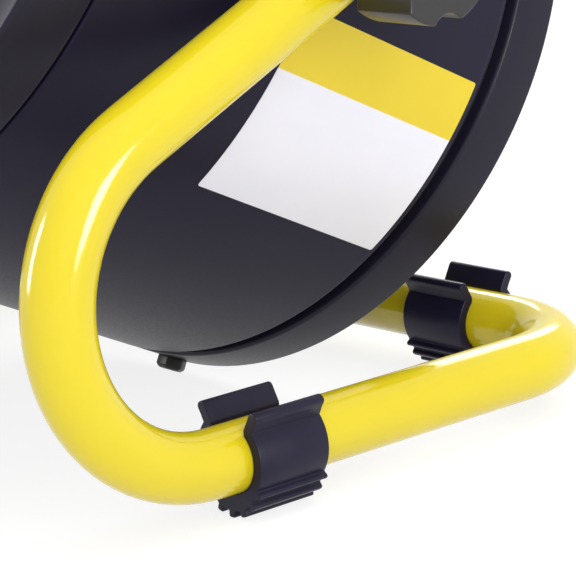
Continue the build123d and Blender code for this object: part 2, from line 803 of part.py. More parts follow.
with BuildPart() as element_screws:
    with BuildSketch(across(baffle_position)):
        with GridLocations(element_screw_spread, element_screw_spread, 2, 2):
            Circle(element_screw_head_radius)
    extrude(amount=-element_screw_head_height)
    with BuildSketch(across(baffle_position)):
        with GridLocations(element_screw_spread, element_screw_spread, 2, 2):
            Circle(element_screw_radius)
    extrude(amount=element_screw_length)
finish(element_screws, "element_screws")

# Ceramic bars and the corrugated fins stacked between them
fin_height = (element_window - ceramic_bar_count * ceramic_bar_height) / (ceramic_bar_count + 1)
stack_pitch = fin_height + ceramic_bar_height
core_width = element_window - 2 * element_fit
core_depth = element_depth - 2 * bar_inset
with BuildPart() as ceramic_bars:
    with BuildSketch(across(element_back + bar_inset)):
        with GridLocations(0, stack_pitch, 1, ceramic_bar_count):
            Rectangle(core_width, ceramic_bar_height)
    extrude(amount=core_depth)
finish(ceramic_bars, "ceramic_bars")

fold_count = int(core_width / fin_pitch) * 2
fold_reach = fin_height / 2 - fin_gauge - element_fit
with BuildPart() as heating_fins:
    with BuildSketch(across(element_back + bar_inset)):
        for pack in range(ceramic_bar_count + 1):
            pack_middle = (pack - ceramic_bar_count / 2) * stack_pitch
            crests = [((fold - fold_count / 2) * fin_pitch / 2, pack_middle + fold_reach * (-1) ** fold)
                      for fold in range(fold_count + 1)]
            with BuildLine():
                Polyline(*[(x, y + fin_gauge) for x, y in crests],
                         *[(x, y - fin_gauge) for x, y in reversed(crests)], close=True)
            make_face()
    extrude(amount=core_depth)
finish(heating_fins, "heating_fins")

with BuildPart() as element_terminals:
    element_middle = across(element_back + element_depth / 2).origin
    element_side = Plane(origin=element_middle, x_dir=front_way, z_dir=(1, 0, 0)).offset(element_width / 2)
    with BuildSketch(element_side):
        with GridLocations(0, stack_pitch * 2, 1, 2):
            Rectangle(terminal_width, terminal_gauge)
    extrude(amount=terminal_length)
finish(element_terminals, "element_terminals")

# Thermal cut-out: disc thermostat on top of the element frame
cutout_plane = Plane(origin=element_middle + up_way * (element_width / 2), x_dir=(1, 0, 0), z_dir=up_way)
finish(round_bar(cutout_plane, cutout_radius, cutout_height), "thermal_cutout")

# Heat liner: thin sleeve between the element and the shell
finish(round_bar(across(element_back), liner_radius, liner_length, liner_radius - liner_wall), "heat_liner")


def across_pivot(distance):
    """Plane square to the tilt axis at a distance to the right of the middle."""
    return Plane(origin=(distance, tilt_axis_y, tilt_axis_height), x_dir=front_way, z_dir=(1, 0, 0))


# Pivot brackets: plates welded in the shell behind each pivot, and their weld nuts
plate_outer = sqrt(wall_fit ** 2 - (bracket_plate_height / 2) ** 2)
plate_inner = plate_outer - bracket_plate_thickness
with BuildPart() as pivot_brackets:
    with BuildSketch(across_pivot(plate_inner)):
        Rectangle(bracket_plate_length, bracket_plate_height)
        Circle(stud_radius + weld_nut_clearance, mode=Mode.SUBTRACT)
    extrude(amount=bracket_plate_thickness)
    mirror(about=Plane.YZ)
finish(pivot_brackets, "pivot_brackets")

with BuildPart() as weld_nuts:
    with BuildSketch(across_pivot(plate_inner - weld_nut_height)):
        RegularPolygon(weld_nut_width / 2, 6, major_radius=False)
        Circle(stud_radius + weld_nut_clearance, mode=Mode.SUBTRACT)
    extrude(amount=weld_nut_height)
    mirror(about=Plane.YZ)
finish(weld_nuts, "weld_nuts")

# Friction washers between the drum and the arms
washer_thickness = side_gap - washer_seat - washer_play
with BuildPart() as friction_washers:
    with BuildSketch(across_pivot(drum_radius + washer_seat)):
        Circle(washer_radius)
        Circle(stud_bore, mode=Mode.SUBTRACT)
    extrude(amount=washer_thickness)
    mirror(about=Plane.YZ)
finish(friction_washers, "friction_washers")

# Tilt knobs and their studs, which pass through the arms into the weld nuts
knob_face = frame_half_width + tube_radius + tilt_knob_gap
stud_start = plate_inner - weld_nut_height - stud_reach
with BuildPart() as tilt_stud_right:
    with BuildSketch(across_pivot(stud_start)):
        Circle(stud_radius)
    extrude(amount=knob_face + tilt_knob_bore_depth - stud_start)
finish(tilt_stud_right, "tilt_stud_right")

with BuildPart() as tilt_knob_right:
    with BuildSketch(across_pivot(knob_face)):
        Circle(tilt_knob_radius)
        with PolarLocations(tilt_knob_radius + tilt_knob_lobe_cut / 2, tilt_knob_lobes):
            Circle(tilt_knob_lobe_cut, mode=Mode.SUBTRACT)
    extrude(amount=tilt_knob_height)
    with BuildSketch(across_pivot(knob_face)):
        Circle(stud_radius + weld_nut_clearance)
    extrude(amount=tilt_knob_bore_depth, mode=Mode.SUBTRACT)
finish(tilt_knob_right, "tilt_knob_right")

with BuildPart() as tilt_stud_left:
    mirror(tilt_stud_right.part, about=Plane.YZ)
finish(tilt_stud_left, "tilt_stud_left")

with BuildPart() as tilt_knob_left:
    mirror(tilt_knob_right.part, about=Plane.YZ)
finish(tilt_knob_left, "tilt_knob_left")
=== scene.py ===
import json
import math

import bmesh
import bpy
from mathutils import Matrix, Vector

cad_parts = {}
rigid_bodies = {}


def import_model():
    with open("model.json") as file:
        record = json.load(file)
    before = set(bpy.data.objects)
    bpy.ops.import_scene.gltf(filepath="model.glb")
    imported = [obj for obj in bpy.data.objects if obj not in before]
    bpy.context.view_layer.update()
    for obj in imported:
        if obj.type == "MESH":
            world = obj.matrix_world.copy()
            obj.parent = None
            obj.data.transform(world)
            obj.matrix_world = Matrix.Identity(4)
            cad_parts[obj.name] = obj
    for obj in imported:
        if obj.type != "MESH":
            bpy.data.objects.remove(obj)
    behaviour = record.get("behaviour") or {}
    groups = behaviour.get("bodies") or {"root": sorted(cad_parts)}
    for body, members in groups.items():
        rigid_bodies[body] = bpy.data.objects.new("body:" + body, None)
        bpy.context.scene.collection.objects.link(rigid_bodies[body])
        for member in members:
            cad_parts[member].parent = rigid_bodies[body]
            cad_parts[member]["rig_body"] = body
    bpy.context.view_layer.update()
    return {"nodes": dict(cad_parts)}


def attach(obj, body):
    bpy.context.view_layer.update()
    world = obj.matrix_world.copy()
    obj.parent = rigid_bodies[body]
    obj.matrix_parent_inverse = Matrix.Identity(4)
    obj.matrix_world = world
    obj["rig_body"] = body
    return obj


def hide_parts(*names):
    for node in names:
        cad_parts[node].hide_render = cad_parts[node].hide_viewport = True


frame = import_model()

# Studio
# A white floor and surround as the camera and the gloss see them, a weaker even light from all
# round, broad lamps over and right of the object that gloss doesn't see, one behind it, and two
# strip lamps that only gloss sees, which draw the bright lines on the tube.
floor_half = 6.0
floor_grey = (0.8, 0.8, 0.8, 1)
coat_grey = (0.27, 0.27, 0.27, 1)
pure_white = (1, 1, 1, 1)
floor_glow = 0.82
even_light = 0.62
backdrop_light = 1.0
scene = bpy.context.scene
scene.view_settings.view_transform = "Standard"


def put_in(name, data):
    """A new object in the scene."""
    thing = bpy.data.objects.new(name, data)
    scene.collection.objects.link(thing)
    return thing


def new_material(name):
    """A node material with its shader and output joined."""
    material = bpy.data.materials.new(name)
    material.use_nodes = True
    return material


def as_seen(tree, lit, seen, end):
    """Joins one shader for light on the object, and one that the camera and clear or gloss faces see."""
    path = tree.nodes.new("ShaderNodeLightPath")
    either = path.outputs["Is Camera Ray"]
    for kind in ("Is Glossy Ray", "Is Transmission Ray"):
        larger = tree.nodes.new("ShaderNodeMath")
        larger.operation = "MAXIMUM"
        tree.links.new(either, larger.inputs[0])
        tree.links.new(path.outputs[kind], larger.inputs[1])
        either = larger.outputs[0]
    pick = tree.nodes.new("ShaderNodeMixShader")
    tree.links.new(either, pick.inputs["Fac"])
    tree.links.new(lit.outputs[0], pick.inputs[1])
    tree.links.new(seen.outputs[0], pick.inputs[2])
    tree.links.new(pick.outputs[0], tree.nodes[end].inputs["Surface"])


floor_mesh = bpy.data.meshes.new("studio_floor")
floor_mesh.from_pydata([(-floor_half, -floor_half, 0), (floor_half, -floor_half, 0),
                        (floor_half, floor_half, 0), (-floor_half, floor_half, 0)], [], [(0, 1, 2, 3)])
floor = put_in("studio_floor", floor_mesh)
floor_paint = new_material("floor_paint")
paint_tree = floor_paint.node_tree
floor_shader = paint_tree.nodes["Principled BSDF"]
floor_shader.inputs["Base Color"].default_value = floor_grey
floor_shader.inputs["Roughness"].default_value = 0.9
thin_coat = paint_tree.nodes.new("ShaderNodeBsdfDiffuse")
thin_coat.inputs["Color"].default_value = coat_grey
glow = paint_tree.nodes.new("ShaderNodeEmission")
glow.inputs["Strength"].default_value = floor_glow
white = paint_tree.nodes.new("ShaderNodeAddShader")
paint_tree.links.new(thin_coat.outputs[0], white.inputs[0])
paint_tree.links.new(glow.outputs[0], white.inputs[1])
as_seen(paint_tree, floor_shader, white, "Material Output")
floor_mesh.materials.append(floor_paint)

world = bpy.data.worlds.new("studio_air")
scene.world = world
world.use_nodes = True
air = world.node_tree
backdrop = air.nodes.new("ShaderNodeBackground")
for shade, strength in ((air.nodes["Background"], even_light), (backdrop, backdrop_light)):
    shade.inputs["Color"].default_value = pure_white
    shade.inputs["Strength"].default_value = strength
as_seen(air, air.nodes["Background"], backdrop, "World Output")


def soft_lamp(name, place, target, width, height, power):
    """An oblong soft lamp that faces a point, with its place and size in metres and power in watts."""
    lamp = bpy.data.lights.new(name, "AREA")
    lamp.shape = "RECTANGLE"
    lamp.size = width
    lamp.size_y = height
    lamp.energy = power
    holder = put_in(name, lamp)
    holder.location = place
    holder.rotation_mode = "QUATERNION"
    holder.rotation_quaternion = (Vector(target) - Vector(place)).to_track_quat("-Z", "Y")
    return holder


object_middle = (0, 0, 0.1)
drum_middle = (0, 0, 0.15)
tube_bend = (0.1, -0.1, 0.06)
lamp_over = soft_lamp("lamp_over", (0.3, 0.1, 1.8), object_middle, 1.8, 1.8, 17)
lamp_right = soft_lamp("lamp_right", (1.6, -0.7, 0.8), drum_middle, 1.5, 1.2, 13)
soft_lamp("lamp_behind", (-0.98, 1.4, 1.05), object_middle, 0.9, 0.7, 12)
strip_left = soft_lamp("strip_left", (-1.04, -1.16, 0.45), tube_bend, 0.32, 0.75, 14)
strip_right = soft_lamp("strip_right", (1.58, 0.14, 0.32), tube_bend, 0.45, 0.6, 15)
for holder in (lamp_over, lamp_right):
    holder.visible_glossy = False
for holder in (strip_left, strip_right):
    holder.visible_diffuse = False

# Camera
# The photograph's own viewpoint, found from the stand's tube and the drum's rim. Pixels are those
# of the 576 by 576 picture.
picture_width = 576
focal_pixels = 2673.3
camera_place = Vector((0.63859, -0.49337, 0.22093))
camera_pitch = math.radians(13.334)
camera_yaw = math.radians(41.791)
camera_roll = math.radians(2.947)

ahead = Vector((-math.cos(camera_yaw) * math.cos(camera_pitch),
                math.sin(camera_yaw) * math.cos(camera_pitch), -math.sin(camera_pitch)))
level_right = Vector((math.sin(camera_yaw), math.cos(camera_yaw), 0))
level_down = ahead.cross(level_right)
picture_right = level_right * math.cos(camera_roll) + level_down * math.sin(camera_roll)
picture_down = level_down * math.cos(camera_roll) - level_right * math.sin(camera_roll)
camera = bpy.data.cameras.new("photo_camera")
camera.sensor_width = 36
camera.lens = focal_pixels / picture_width * camera.sensor_width
camera.clip_start = 0.05
camera_holder = put_in("photo_camera", camera)
camera_turn = Matrix((picture_right, -picture_down, -ahead)).transposed()
camera_holder.matrix_world = Matrix.Translation(camera_place) @ camera_turn.to_4x4()
scene.camera = camera_holder

# Stand tube
# Drawn steel tube 19 mm across, bent in two halves that meet at the middle of the rear cross-piece
# and inside the grip, and coated with gloss yellow powder that has flowed to a faint orange peel.
mm = 0.001
tube_radius = 9.5
runner_height = 16.3
half_width = 125.0
tilt_y = -2.1
tilt_z = 144.2
slope = math.radians(25.2)
arm_past_pivot = 59
upright_length = 150
upright_lean = math.radians(15)
rear_reach = 91
corner_bend = 35
arm_bend = 47
handle_bend = 40
arm_foot_y = tilt_y - (tilt_z - runner_height) / math.tan(slope)
arm_top_y = tilt_y + arm_past_pivot * math.cos(slope)
arm_top_z = tilt_z + arm_past_pivot * math.sin(slope)
handle_y = arm_top_y - upright_length * math.sin(upright_lean)
handle_z = arm_top_z + upright_length * math.cos(upright_lean)
rear_y = tilt_y + rear_reach
joint_gap = 0.12
tube_route = [(joint_gap, rear_y, runner_height, 0),
              (half_width, rear_y, runner_height, corner_bend),
              (half_width, arm_foot_y, runner_height, arm_bend),
              (half_width, arm_top_y, arm_top_z, arm_bend),
              (half_width, handle_y, handle_z, handle_bend),
              (joint_gap, handle_y, handle_z, 0)]


def grain(material, size, stretch=(1, 1, 1), detail=2.0):
    """Noise on the piece's own coordinates, in patches of about the given size."""
    tree = material.node_tree
    place = tree.nodes.new("ShaderNodeTexCoord")
    scale = tree.nodes.new("ShaderNodeMapping")
    scale.inputs["Scale"].default_value = [1 / (size * part) for part in stretch]
    noise = tree.nodes.new("ShaderNodeTexNoise")
    noise.inputs["Scale"].default_value = 1.0
    noise.inputs["Detail"].default_value = detail
    tree.links.new(place.outputs["Object"], scale.inputs["Vector"])
    tree.links.new(scale.outputs["Vector"], noise.inputs["Vector"])
    return noise.outputs["Fac"]


def spread(material, value, low, high, start=0.3, stop=0.7):
    """A pattern's values, stretched to run from low to high."""
    tree = material.node_tree
    mapping = tree.nodes.new("ShaderNodeMapRange")
    tree.links.new(value, mapping.inputs["Value"])
    for label, number in (("From Min", start), ("From Max", stop), ("To Min", low), ("To Max", high)):
        mapping.inputs[label].default_value = number
    return mapping.outputs["Result"]


def two_shades(material, value, first, second):
    """A colour that goes with a pattern from the first to the second, each a colour or a socket."""
    tree = material.node_tree
    mix = tree.nodes.new("ShaderNodeMix")
    mix.data_type = "RGBA"
    tree.links.new(value, mix.inputs["Factor"])
    # The colour sockets go by number, because the node's other kinds have sockets of the same names
    for socket, shade in ((mix.inputs[6], first), (mix.inputs[7], second)):
        if isinstance(shade, tuple):
            socket.default_value = (*shade, 1)
        else:
            tree.links.new(shade, socket)
    return mix.outputs[2]


def relief(material, value, depth):
    """Bump of a depth in metres from a pattern."""
    tree = material.node_tree
    bump = tree.nodes.new("ShaderNodeBump")
    bump.inputs["Distance"].default_value = depth
    tree.links.new(value, bump.inputs["Height"])
    return bump.outputs["Normal"]


def finish(material, colour, gloss, bump=None):
    """Joins a colour, a roughness and a relief to the material's shader, and gives the shader back."""
    shader = material.node_tree.nodes["Principled BSDF"]
    for label, source in (("Base Color", colour), ("Roughness", gloss), ("Normal", bump)):
        if source is not None:
            material.node_tree.links.new(source, shader.inputs[label])
    return shader


def surface(name, first, second, gloss, grain_size, depth, patch, metal=0.0, shine=0.5,
            stretch=(1, 1, 1)):
    """A finish whose colour drifts between two close shades, with grained gloss and relief."""
    material = new_material(name)
    drift = spread(material, grain(material, patch, stretch, detail=3.0), 0, 1)
    fine = grain(material, grain_size, stretch)
    shader = finish(material, two_shades(material, drift, first, second),
                    spread(material, fine, *gloss), relief(material, fine, depth))
    shader.inputs["Metallic"].default_value = metal
    shader.inputs["Specular IOR Level"].default_value = shine
    return material


def new_tree(name, inputs):
    """A Geometry Nodes tree with geometry at both ends and named inputs."""
    tree = bpy.data.node_groups.new(name, "GeometryNodeTree")
    tree.is_modifier = True
    tree.interface.new_socket("Geometry", in_out="INPUT", socket_type="NodeSocketGeometry")
    for label, kind in inputs:
        tree.interface.new_socket(label, in_out="INPUT", socket_type="NodeSocket" + kind)
    tree.interface.new_socket("Geometry", in_out="OUTPUT", socket_type="NodeSocketGeometry")
    return tree, tree.nodes.new("NodeGroupInput").outputs, tree.nodes.new("NodeGroupOutput").inputs


def add_node(tree, kind, links=(), **settings):
    """A node with its properties set and its inputs joined."""
    node = tree.nodes.new(kind)
    for label, value in settings.items():
        setattr(node, label, value)
    for label, source in links:
        tree.links.new(source, node.inputs[label])
    return node


def close_tree(tree, geometry, start, end):
    """The end of every tree: real geometry with its material."""
    real = add_node(tree, "GeometryNodeRealizeInstances", [("Geometry", geometry)])
    painted = add_node(tree, "GeometryNodeSetMaterial",
                       [("Geometry", real.outputs[0]), ("Material", start["Material"])])
    tree.links.new(painted.outputs[0], end[0])


def tidy_mesh(mesh):
    """Faces outwards, and smooth shading with the real edges and the many-sided ends kept flat."""
    same_spot = 0.0005 * mm
    sharp_angle = math.radians(35)
    most_corners = 12
    shape = bmesh.new()
    shape.from_mesh(mesh)
    bmesh.ops.remove_doubles(shape, verts=shape.verts, dist=same_spot)
    bmesh.ops.recalc_face_normals(shape, faces=shape.faces)
    shape.to_mesh(mesh)
    shape.free()
    flat = [face.index for face in mesh.polygons if len(face.vertices) > most_corners]
    mesh.shade_smooth()
    mesh.set_sharp_from_angle(angle=sharp_angle)
    for index in flat:
        mesh.polygons[index].use_smooth = False


def place_mesh(name, mesh, place):
    """A piece from a finished mesh, with its place in the mesh."""
    if place is not None:
        mesh.transform(place)
    tidy_mesh(mesh)
    return put_in(name, mesh)


def finished_mesh(source, name):
    """What a worked object's modifiers make of it, as a plain mesh. The worked object goes."""
    depsgraph = bpy.context.evaluated_depsgraph_get()
    mesh = bpy.data.meshes.new_from_object(source.evaluated_get(depsgraph))
    mesh.name = name
    bpy.data.objects.remove(source)
    return mesh


def worked_object(name, vertices, edges=(), faces=()):
    """A bare mesh object, from millimetres, for modifiers to work on."""
    mesh = bpy.data.meshes.new(name)
    mesh.from_pydata([Vector(spot) * mm for spot in vertices], edges, faces)
    return put_in(name, mesh)


def covered(source, name, material, place=None):
    """A piece from a worked object, in one material."""
    source.data.materials.clear()
    source.data.materials.append(material)
    return place_mesh(name, finished_mesh(source, name), place)


def grown(source, name, tree, values, place=None, bevel=0.0):
    """A piece that a tree grows from a worked object, with its sharp edges eased if asked."""
    modifier = source.modifiers.new("grow", "NODES")
    modifier.node_group = tree
    sockets = {item.name: item.identifier for item in tree.interface.items_tree if item.in_out == "INPUT"}
    for label, value in values.items():
        modifier[sockets[label]] = value
    if bevel:
        ease_edges(source, bevel)
    return place_mesh(name, finished_mesh(source, name), place)


def ease_edges(source, width, segments=3, limit=40):
    """A bevel of a width in millimetres on the sharp edges."""
    bevel = source.modifiers.new("edges", "BEVEL")
    bevel.width = width * mm
    bevel.segments = segments
    bevel.limit_method = "ANGLE"
    bevel.angle_limit = math.radians(limit)


tube_tree, tube_in, tube_out = new_tree("bent_tube", [
    ("Tube Radius", "Float"), ("Bend Steps", "Int"), ("Round Steps", "Int"), ("Material", "Material")])
bend_size = add_node(tube_tree, "GeometryNodeInputNamedAttribute", data_type="FLOAT")
bend_size.inputs["Name"].default_value = "bend"
tube_line = add_node(tube_tree, "GeometryNodeMeshToCurve", [("Mesh", tube_in["Geometry"])])
tube_bends = add_node(tube_tree, "GeometryNodeFilletCurve", [
    ("Curve", tube_line.outputs[0]), ("Radius", bend_size.outputs[0])], mode="POLY")
tube_tree.links.new(tube_in["Bend Steps"], tube_bends.inputs["Count"])
tube_round = add_node(tube_tree, "GeometryNodeCurvePrimitiveCircle", [
    ("Resolution", tube_in["Round Steps"]), ("Radius", tube_in["Tube Radius"])])
tube_skin = add_node(tube_tree, "GeometryNodeCurveToMesh", [
    ("Curve", tube_bends.outputs[0]), ("Profile Curve", tube_round.outputs[0])])
tube_skin.inputs["Fill Caps"].default_value = True
close_tree(tube_tree, tube_skin.outputs[0], tube_in, tube_out)

yellow_coat = surface("yellow_powder_coat", (0.83, 0.675, 0.015), (0.80, 0.64, 0.013),
                      (0.11, 0.16), 1.6 * mm, 0.01 * mm, patch=40 * mm)
for side_name, side in (("right", 1), ("left", -1)):
    tube = worked_object("stand_tube_" + side_name,
                         [(side * x, y, z) for x, y, z, bend in tube_route],
                         edges=[(spot, spot + 1) for spot in range(len(tube_route) - 1)])
    bends = tube.data.attributes.new("bend", "FLOAT", "POINT")
    for spot, (x, y, z, bend) in enumerate(tube_route):
        bends.data[spot].value = bend * mm
    tube = grown(tube, "stand_tube_" + side_name, tube_tree, {
        "Tube Radius": tube_radius * mm, "Bend Steps": 40, "Round Steps": 72,
        "Material": yellow_coat}, bevel=0.35)
    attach(tube, "frame")
    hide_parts("frame_tube_" + side_name)

# Tube joiners
# A short steel sleeve inside each joint of the two halves, drawn and left bare.
cad = frame["nodes"]
drawn_steel = surface("drawn_steel", (0.46, 0.46, 0.47), (0.56, 0.56, 0.57), (0.25, 0.42),
                      0.4 * mm, 0.01 * mm, patch=6 * mm, metal=1.0, stretch=(12, 1, 1))


def dress(material, *names):
    """Gives CAD nodes that are shown as they are a material."""
    for name in names:
        cad[name].data.materials.clear()
        cad[name].data.materials.append(material)


dress(drawn_steel, "tube_joiners")

# Handle grip
# A black rubber sleeve pushed over the handle joint, with rounded ends and five finger grooves.
grip_half = 59.0
grip_outer = 13.5
grip_inner = 9.62
grip_end_radius = 1.9
grip_mouth_radius = 0.6
groove_count = 5
groove_pitch = 19.0
groove_half = 1.3
groove_depth = 1.2
groove_lip_radius = 0.7
groove_root_radius = 0.35


def rounded(corners, steps):
    """A closed outline with each corner (x, y, radius) turned into an arc."""
    outline = []
    count = len(corners)
    for index, (x, y, radius) in enumerate(corners):
        here = Vector((x, y))
        if radius <= 0:
            outline.append(here)
            continue
        before = (Vector(corners[index - 1][:2]) - here).normalized()
        after = (Vector(corners[(index + 1) % count][:2]) - here).normalized()
        half = before.angle(after) / 2
        reach = radius / math.tan(half)
        middle = here + (before + after).normalized() * (radius / math.sin(half))
        first = here + before * reach - middle
        turn = first.angle_signed(here + after * reach - middle)
        for step in range(steps + 1):
            angle = -turn * step / steps
            outline.append(middle + Vector((first.x * math.cos(angle) - first.y * math.sin(angle),
                                            first.x * math.sin(angle) + first.y * math.cos(angle))))
    return outline


def skirt(near, far, count):
    """The faces between two like outlines, given by the number of each one's first point."""
    return [(near + i, near + (i + 1) % count, far + (i + 1) % count, far + i)
            for i in range(count)]


def turned_outline(name, corners, steps, arc_steps):
    """A worked object: a closed outline of (along, out from the axis) turned round the Z axis."""
    outline = rounded(corners, arc_steps)
    count = len(outline)
    spots, faces = [], []
    for turn in range(steps):
        angle = math.tau * turn / steps
        spots += [(spot.y * math.cos(angle), spot.y * math.sin(angle), spot.x) for spot in outline]
        faces += skirt(turn * count, (turn + 1) % steps * count, count)
    return worked_object(name, spots, faces=faces)


def lathe(name, corners, place, material, steps, arc_steps=5):
    """A piece that is one turned outline."""
    return covered(turned_outline(name, corners, steps, arc_steps), name, material, place)


grip_outline = [(-grip_half, grip_inner, grip_mouth_radius),
                (-grip_half, grip_outer, grip_end_radius)]
for groove in range(groove_count):
    along = (groove - (groove_count - 1) / 2) * groove_pitch
    grip_outline += [(along - groove_half, grip_outer, groove_lip_radius),
                     (along, grip_outer - groove_depth, groove_root_radius),
                     (along + groove_half, grip_outer, groove_lip_radius)]
grip_outline += [(grip_half, grip_outer, grip_end_radius),
                 (grip_half, grip_inner, grip_mouth_radius)]
along_x = Matrix(((0, 0, 1, 0), (0, 1, 0, handle_y * mm), (-1, 0, 0, handle_z * mm), (0, 0, 0, 1)))
grip_rubber = surface("grip_rubber", (0.022, 0.022, 0.024), (0.034, 0.034, 0.036), (0.55, 0.75),
                      0.35 * mm, 0.03 * mm, patch=10 * mm, shine=0.35)
handle_grip = lathe("rubber_grip", grip_outline, along_x, grip_rubber, steps=96)
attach(handle_grip, "frame")
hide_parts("handle_grip")

# Clip-on feet
# Four nylon clips cut from one moulded section: an open sleeve with two lips to spread it over the
# tube, and a ribbed underside to stand on. Two hold the runners and two the rear cross-piece.
clip_half = 12.25
clip_edge = 0.35
front_clip_setback = 17.6
rear_clip_setback = 23
sleeve_inner = 9.6
sleeve_outer = 12.7
sleeve_middle = 11.15
outer_steps = 15
inner_steps = 30
foot_drop = 1.0
rib_pitch = 18.4
rib_root_radius = 0.25
rib_crest_radius = 0.65
heel_radius = 0.4
# Half the width, the reach and the base radius of the middle rib and of the three beside it
ribs = ((1.15, 15.3, 13.5), (1.15, 15.1, 13.3), (1.05, 14.5, 12.9), (0.75, 13.9, 12.5))
mouth_angle = math.radians(44)
lip_angle = math.radians(66)
lip_root = Vector((math.cos(mouth_angle), math.sin(mouth_angle))) * sleeve_middle
lip_way = Vector((math.cos(lip_angle), math.sin(lip_angle)))
lip_side = Vector((-lip_way.y, lip_way.x))
lip_reach = 6.6
lip_root_half = 1.2
lip_waist_height = 3.4
lip_waist_half = 1.3
lip_waist_radius = 2.0
lip_tip_outer = 1.75
lip_tip_inner = 1.55
lip_tip_radius = 1.4
notch_radius = 0.2
throat = (6.3, 8.8, 1.2)
inner_angle = 48
inner_edge_radius = 0.5


def on_circle(radius, angle, drop=0.0):
    """A point of the section on a circle about the tube, or about a centre below it."""
    return radius * math.cos(math.radians(angle)), radius * math.sin(math.radians(angle)) - drop


def where_line_meets(start, way, radius):
    """The far point of a line on a circle about the tube."""
    along = start.dot(way)
    return start + way * (math.sqrt(along * along - start.dot(start) + radius * radius) - along)


half_section = []
for rib, (rib_half, rib_reach, rib_base) in enumerate(ribs):
    angle = -90 + rib * rib_pitch
    rib_turn = math.degrees(math.asin(rib_half / rib_base))
    out = Vector(on_circle(1, angle))
    side_way = Vector((-out.y, out.x))
    centre = Vector((0, -foot_drop))
    crest = centre + out * rib_reach
    if rib:
        half_section.append((*on_circle(rib_base, angle - rib_turn, foot_drop), rib_root_radius))
        half_section.append((*(crest - side_way * rib_half), rib_crest_radius))
    half_section.append((*(crest + side_way * rib_half), rib_crest_radius))
    if rib < len(ribs) - 1:
        half_section.append((*on_circle(rib_base, angle + rib_turn, foot_drop), rib_root_radius))
root = where_line_meets(centre + side_way * rib_half, out, sleeve_outer)
half_section.append((*root, heel_radius))
first_angle = math.degrees(math.atan2(root.y, root.x))
outer_root = lip_root - lip_side * lip_root_half
lip_waist = lip_root + lip_way * lip_waist_height - lip_side * lip_waist_half
notch = where_line_meets(outer_root, (lip_waist - outer_root).normalized(), sleeve_outer)
outer_turn = math.degrees(math.atan2(notch.y, notch.x)) - first_angle
half_section += [(*on_circle(sleeve_outer, first_angle + outer_turn * step / outer_steps), 0)
                 for step in range(1, outer_steps)]
lip_tip = lip_root + lip_way * lip_reach
half_section += [(*notch, notch_radius), (*lip_waist, lip_waist_radius),
                 (*(lip_tip - lip_side * lip_tip_outer), lip_tip_radius),
                 (*(lip_tip + lip_side * lip_tip_inner), lip_tip_radius),
                 throat, (*on_circle(sleeve_inner, inner_angle), inner_edge_radius)]
half_section += [(*on_circle(sleeve_inner, inner_angle - (inner_angle + 90) * step / inner_steps), 0)
                 for step in range(1, inner_steps)]
other_half = [(-x, y, radius) for x, y, radius in reversed(half_section)]
clip_outline = rounded(half_section + other_half, steps=4)


def stacked_faces(layers, count):
    """The faces of like outlines laid on each other, closed at both ends."""
    faces = [tuple(range(count)), tuple(range((layers - 1) * count, layers * count))]
    for layer in range(layers - 1):
        faces += skirt(layer * count, (layer + 1) * count, count)
    return faces


def extruded(name, outline, half, edge, place, material):
    """An outline in millimetres drawn out both ways, with rounded end edges."""
    edge_steps = 4
    least_mitre = 0.5
    count = len(outline)
    inwards = []
    for index, here in enumerate(outline):
        before = (here - outline[index - 1]).normalized()
        after = (outline[(index + 1) % count] - here).normalized()
        normal = Vector((-before.y - after.y, before.x + after.x)).normalized()
        inwards.append(normal / max(least_mitre, normal.dot(Vector((-before.y, before.x)))))
    rings = []
    for end in (-1, 1):
        arc = [math.pi / 2 * step / edge_steps for step in range(edge_steps + 1)]
        ring_set = [(edge * (1 - math.sin(angle)), end * (half - edge * (1 - math.cos(angle))))
                    for angle in arc]
        rings += ring_set if end < 0 else ring_set[::-1]
    spots = []
    for shift, depth in rings:
        for here, inward in zip(outline, inwards):
            flat = here + inward * shift
            spots.append((flat.x, flat.y, depth))
    source = worked_object(name, spots, faces=stacked_faces(len(rings), count))
    return covered(source, name, material, place)


clip_nylon = surface("clip_nylon", (0.0105, 0.009, 0.0265), (0.0155, 0.013, 0.0345),
                     (0.3, 0.42), 0.5 * mm, 0.012 * mm, patch=8 * mm, shine=0.2)
bend_end_y = arm_foot_y + arm_bend / math.tan(slope / 2)
front_clip_y = bend_end_y + front_clip_setback
rear_clip_x = half_width - corner_bend - rear_clip_setback
for side_name, side in (("right", 1), ("left", -1)):
    front_place = Matrix(((1, 0, 0, side * half_width * mm), (0, 0, -1, front_clip_y * mm),
                          (0, 1, 0, runner_height * mm), (0, 0, 0, 1)))
    rear_place = Matrix(((0, 0, 1, side * rear_clip_x * mm), (1, 0, 0, rear_y * mm),
                         (0, 1, 0, runner_height * mm), (0, 0, 0, 1)))
    for end_name, place in (("front", front_place), ("rear", rear_place)):
        foot = extruded(f"clip_foot_{end_name}_{side_name}", clip_outline, clip_half, clip_edge,
                        place, clip_nylon)
        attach(foot, "frame")
        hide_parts(f"foot_clip_{end_name}_{side_name}")

